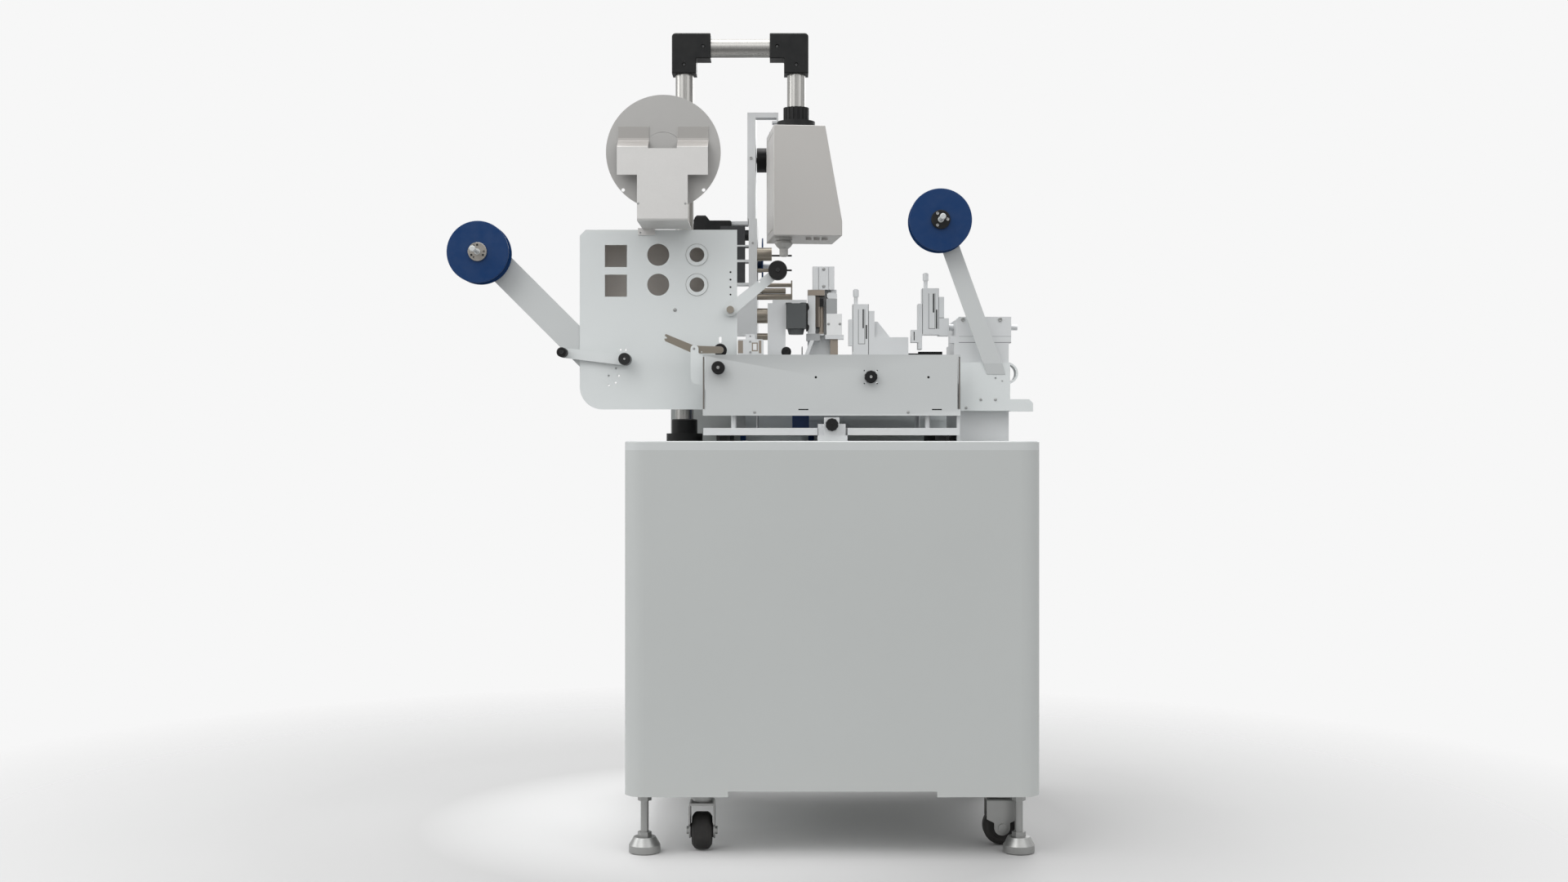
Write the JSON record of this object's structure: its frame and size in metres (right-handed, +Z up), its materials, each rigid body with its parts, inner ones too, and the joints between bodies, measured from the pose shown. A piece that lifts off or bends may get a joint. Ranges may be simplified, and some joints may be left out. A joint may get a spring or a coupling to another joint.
{
  "type": "tape and reel machine",
  "caption": "Free-standing tape and reel machine: cabinet on levelling feet and casters, tape path, reels on arms and a screen on a tube arm.",
  "frame": {"origin": "on the floor, under the middle of the machine's outline", "axes": "+X to the right along the front, +Y from the front to the back, +Z up"},
  "size_m": [1.184, 0.8, 1.674],
  "materials": {
    "cabinet_paint": "fine satin powder coat",
    "sheet_paint": "fine satin powder coat on bent sheet",
    "screen_paint": "satin",
    "machined_aluminium": "clear anodised, finely milled",
    "tube_steel": "brushed along the tube",
    "zinc_steel": "zinc plated",
    "black_plastic": "fine moulded grain",
    "roller_black": "matt",
    "reel_blue": "moulded",
    "blue_paint": "satin",
    "dark_metal": "satin",
    "motor_grey": "satin",
    "lever_steel": "dull",
    "disc_steel": "fine spun",
    "bracket_steel": "bent sheet, fine grain",
    "screen_face": "glossy"
  },
  "bodies": {
    "machine": {"cabinet": "cabinet_paint", "tabletop": "cabinet_paint", "rear_box": "cabinet_paint", "instrument_panel": "sheet_paint", "instrument_box": "sheet_paint", "left_reel_arm": "sheet_paint", "right_reel_arm": "sheet_paint", "front_cover": "sheet_paint", "lever_bracket": "sheet_paint", "side_plate": "sheet_paint", "base_frame": "machined_aluminium", "film_tower": "machined_aluminium", "valve_block": "machined_aluminium", "drive_unit": "machined_aluminium", "press_frame": "machined_aluminium", "cutter_unit": "machined_aluminium", "stage_1_body": "machined_aluminium", "stage_2_body": "machined_aluminium", "right_column": "machined_aluminium", "arm_tubes": "tube_steel", "film_rollers": "tube_steel", "levelling_feet": "zinc_steel", "caster_plates": "zinc_steel", "arm_joints": "black_plastic", "slide_rails": "black_plastic", "feeder_base": "blue_paint", "drive_motor": "motor_grey", "film_motors": "dark_metal", "backing_disc": "disc_steel", "t_bracket": "bracket_steel"},
    "left_reel_spool": {"left_reel": "reel_blue", "left_reel_hub": "machined_aluminium"},
    "right_reel_spool": {"right_reel": "reel_blue", "right_reel_hub": "black_plastic"},
    "upper_film_spool": {"upper_film_reel": "reel_blue"},
    "lower_film_spool": {"lower_film_reel": "reel_blue"},
    "tension_swing": {"tension_arm": "sheet_paint"},
    "tension_wheel": {"tension_roller": "roller_black"},
    "dancer_swing": {"dancer_arm": "sheet_paint"},
    "dancer_wheel": {"dancer_roller": "roller_black"},
    "lever_swing": {"tape_lever": "lever_steel"},
    "lever_wheel": {"lever_roller": "roller_black"},
    "cover_wheel": {"cover_roller": "roller_black"},
    "guide_wheel": {"guide_roller": "roller_black"},
    "cover_dial": {"cover_knob": "black_plastic"},
    "slide_dial": {"slide_knob": "black_plastic"},
    "operator_screen": {"hmi_box": "screen_paint", "hmi_screen": "screen_face", "hmi_collar": "black_plastic"},
    "height_table_1": {"stage_1_table": "machined_aluminium"},
    "height_table_2": {"stage_2_table": "machined_aluminium"},
    "press": {"press_head": "machined_aluminium"},
    "swivel_front_left": {"caster_fork_front_left": "zinc_steel"},
    "wheel_front_left": {"caster_wheel_front_left": "roller_black"},
    "swivel_front_right": {"caster_fork_front_right": "zinc_steel"},
    "wheel_front_right": {"caster_wheel_front_right": "roller_black"},
    "swivel_rear_left": {"caster_fork_rear_left": "zinc_steel"},
    "wheel_rear_left": {"caster_wheel_rear_left": "roller_black"},
    "swivel_rear_right": {"caster_fork_rear_right": "zinc_steel"},
    "wheel_rear_right": {"caster_wheel_rear_right": "roller_black"}
  },
  "joints": [
    {"name": "left_reel_spin", "type": "hinge", "parent": "machine", "child": "left_reel_spool", "pos_m": [-0.5295, -0.305, 1.2005], "axis": [0, 1, 0], "continuous": true},
    {"name": "right_reel_spin", "type": "hinge", "parent": "machine", "child": "right_reel_spool", "pos_m": [0.399, -0.34, 1.261], "axis": [0, 1, 0], "continuous": true},
    {"name": "upper_film_spin", "type": "hinge", "parent": "machine", "child": "upper_film_spool", "pos_m": [0.028, 0.1, 1.446], "axis": [1, 0, 0], "continuous": true},
    {"name": "lower_film_spin", "type": "hinge", "parent": "machine", "child": "lower_film_spool", "pos_m": [0.028, 0.1, 1.2095], "axis": [1, 0, 0], "continuous": true},
    {"name": "tension_arm_swing", "type": "hinge", "parent": "machine", "child": "tension_swing", "pos_m": [-0.2353, -0.259, 0.9856], "axis": [0, 1, 0], "range_deg": [-25, 25]},
    {"name": "tension_roller_spin", "type": "hinge", "parent": "tension_swing", "child": "tension_wheel", "pos_m": [-0.3625, -0.292, 0.9995], "axis": [0, 1, 0], "continuous": true},
    {"name": "dancer_arm_swing", "type": "hinge", "parent": "machine", "child": "dancer_swing", "pos_m": [-0.0224, -0.259, 1.087], "axis": [0, 1, 0], "range_deg": [-40, 35]},
    {"name": "dancer_roller_spin", "type": "hinge", "parent": "dancer_swing", "child": "dancer_wheel", "pos_m": [0.0742, -0.292, 1.1656], "axis": [0, 1, 0], "continuous": true},
    {"name": "lever_pivot", "type": "hinge", "parent": "machine", "child": "lever_swing", "pos_m": [-0.093, -0.302, 1.005], "axis": [0, 1, 0], "range_deg": [-15, 15]},
    {"name": "lever_roller_spin", "type": "hinge", "parent": "lever_swing", "child": "lever_wheel", "pos_m": [-0.0417, -0.2985, 1.0033], "axis": [0, 1, 0], "continuous": true},
    {"name": "cover_roller_spin", "type": "hinge", "parent": "machine", "child": "cover_wheel", "pos_m": [-0.0438, -0.35, 0.9653], "axis": [0, 1, 0], "continuous": true},
    {"name": "guide_roller_spin", "type": "hinge", "parent": "machine", "child": "guide_wheel", "pos_m": [0.0914, -0.288, 1.0005], "axis": [0, 1, 0], "continuous": true},
    {"name": "cover_knob_turn", "type": "hinge", "parent": "machine", "child": "cover_dial", "pos_m": [0.2596, -0.35, 0.9475], "axis": [0, 1, 0], "continuous": true},
    {"name": "slide_knob_turn", "type": "hinge", "parent": "machine", "child": "slide_dial", "pos_m": [0.182, -0.36, 0.8524], "axis": [0, 1, 0], "continuous": true},
    {"name": "screen_swivel", "type": "hinge", "parent": "machine", "child": "operator_screen", "pos_m": [0.1124, -0.13, 1.472], "axis": [0, 0, 1], "range_deg": [-150, 150]},
    {"name": "stage_1_lift", "type": "slide", "parent": "machine", "child": "height_table_1", "axis": [0, 0, 1], "range_m": [-0.004, 0.004]},
    {"name": "stage_2_lift", "type": "slide", "parent": "machine", "child": "height_table_2", "axis": [0, 0, 1], "range_m": [-0.004, 0.004]},
    {"name": "press_stroke", "type": "slide", "parent": "machine", "child": "press", "axis": [0, 0, 1], "range_m": [-0.008, 0]},
    {"name": "swivel_turn_front_left", "type": "hinge", "parent": "machine", "child": "swivel_front_left", "pos_m": [-0.0775, -0.31, 0.1025], "axis": [0, 0, 1], "continuous": true},
    {"name": "wheel_roll_front_left", "type": "hinge", "parent": "swivel_front_left", "child": "wheel_front_left", "pos_m": [-0.0775, -0.31, 0.039], "axis": [1, 0, 0], "continuous": true},
    {"name": "swivel_turn_front_right", "type": "hinge", "parent": "machine", "child": "swivel_front_right", "pos_m": [0.5275, -0.263, 0.1025], "axis": [0, 0, 1], "continuous": true},
    {"name": "wheel_roll_front_right", "type": "hinge", "parent": "swivel_front_right", "child": "wheel_front_right", "pos_m": [0.5275, -0.263, 0.039], "axis": [0, 1, 0], "continuous": true},
    {"name": "swivel_turn_rear_left", "type": "hinge", "parent": "machine", "child": "swivel_rear_left", "pos_m": [-0.0775, 0.31, 0.1025], "axis": [0, 0, 1], "continuous": true},
    {"name": "wheel_roll_rear_left", "type": "hinge", "parent": "swivel_rear_left", "child": "wheel_rear_left", "pos_m": [-0.0775, 0.31, 0.039], "axis": [1, 0, 0], "continuous": true},
    {"name": "swivel_turn_rear_right", "type": "hinge", "parent": "machine", "child": "swivel_rear_right", "pos_m": [0.5275, 0.263, 0.1025], "axis": [0, 0, 1], "continuous": true},
    {"name": "wheel_roll_rear_right", "type": "hinge", "parent": "swivel_rear_right", "child": "wheel_rear_right", "pos_m": [0.5275, 0.263, 0.039], "axis": [0, 1, 0], "continuous": true}
  ]
}
